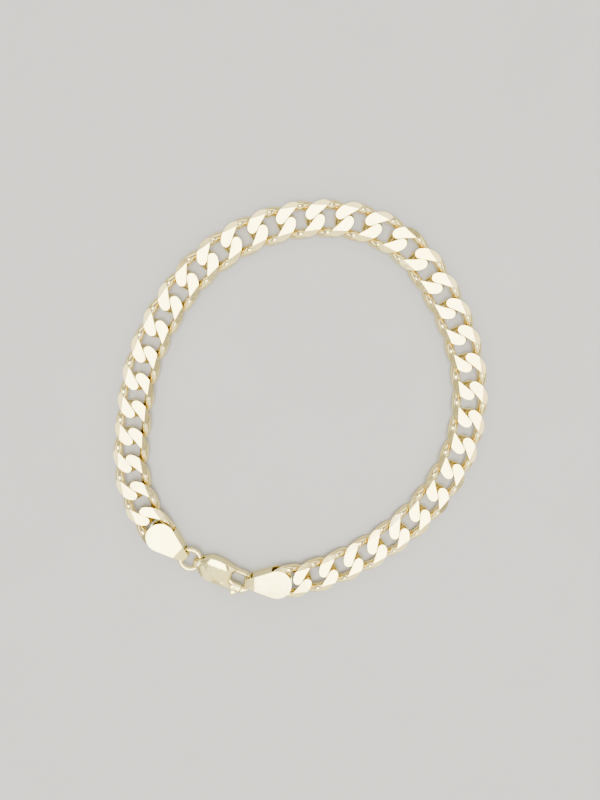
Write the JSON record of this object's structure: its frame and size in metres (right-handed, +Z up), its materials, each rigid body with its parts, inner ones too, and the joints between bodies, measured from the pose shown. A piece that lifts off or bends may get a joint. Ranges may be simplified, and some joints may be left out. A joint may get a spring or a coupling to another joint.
{
  "type": "curb link bracelet",
  "caption": "Flat bevelled curb-link bracelet in pale yellow gold, lying closed in a loop, with a lobster clasp, a jump ring and teardrop end tabs.",
  "frame": {"origin": "middle of the closed loop's box, on the surface that it lies on", "axes": "+Z up off the surface, +Y across the wrist hollow away from the clasp, +X along the clasp side, from the jump ring towards the hook"},
  "size_m": [0.0682, 0.0729, 0.003],
  "materials": {
    "chain_gold": "ground flat and polished, bright",
    "clasp_gold": "polished, lightly worn"
  },
  "bodies": {
    "bracelet": {"link_01": "chain_gold", "link_02": "chain_gold", "link_03": "chain_gold", "link_04": "chain_gold", "link_05": "chain_gold", "link_06": "chain_gold", "link_07": "chain_gold", "link_08": "chain_gold", "link_09": "chain_gold", "link_10": "chain_gold", "link_11": "chain_gold", "link_12": "chain_gold", "link_13": "chain_gold", "link_14": "chain_gold", "link_15": "chain_gold", "link_16": "chain_gold", "link_17": "chain_gold", "link_18": "chain_gold", "link_19": "chain_gold", "link_20": "chain_gold", "link_21": "chain_gold", "link_22": "chain_gold", "link_23": "chain_gold", "link_24": "chain_gold", "link_25": "chain_gold", "link_26": "chain_gold", "link_27": "chain_gold", "link_28": "chain_gold", "link_29": "chain_gold", "link_30": "chain_gold", "link_31": "chain_gold", "link_32": "chain_gold", "link_33": "chain_gold", "link_34": "chain_gold", "link_35": "chain_gold", "end_tab_left": "clasp_gold", "end_tab_right": "clasp_gold", "jump_ring": "clasp_gold", "clasp_body": "clasp_gold", "pivot_pin": "clasp_gold"},
    "clasp_lever": {"clasp_lever": "clasp_gold"}
  },
  "joints": [
    {"name": "clasp_lever_hinge", "type": "hinge", "parent": "bracelet", "child": "clasp_lever", "pos_m": [-0.01434, -0.03264, 0.0015], "axis": [0, 0, 1], "range_deg": [0, 20], "stiffness_Nm_per_rad": 0.01}
  ]
}
